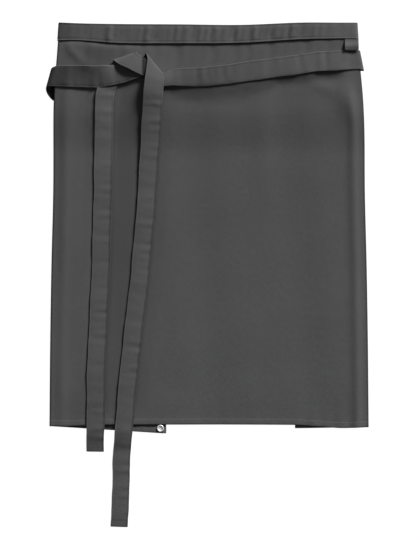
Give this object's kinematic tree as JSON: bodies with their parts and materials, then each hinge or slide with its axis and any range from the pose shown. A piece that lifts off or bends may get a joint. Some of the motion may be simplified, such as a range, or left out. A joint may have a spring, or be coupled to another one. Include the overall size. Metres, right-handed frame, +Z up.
{
  "type": "waist apron lying folded with its ties knotted in front",
  "caption": "Long bistro apron with a waistband, side laps folded behind, long flat ties knotted in front, a side tab and a press stud at the lap's hem.",
  "frame": {"origin": "on the surface that the apron lies on, under the middle of everything", "axes": "+Z up, +Y along the skirt from the hem toward the waistband, +X to the right across the front as seen from above"},
  "size_m": [0.6364, 1.0008, 0.0197],
  "materials": {
    "charcoal_twill": "matt cotton twill, dyed charcoal",
    "woven_tab": "dense woven tape, left bare",
    "nickel": "satin nickel plated brass"
  },
  "bodies": {
    "root": {"skirt_panel": "charcoal_twill", "waistband": "charcoal_twill", "left_tie": "charcoal_twill", "right_tie": "charcoal_twill", "label_tab": "woven_tab", "snap_cap": "nickel", "snap_socket": "nickel"}
  },
  "joints": []
}
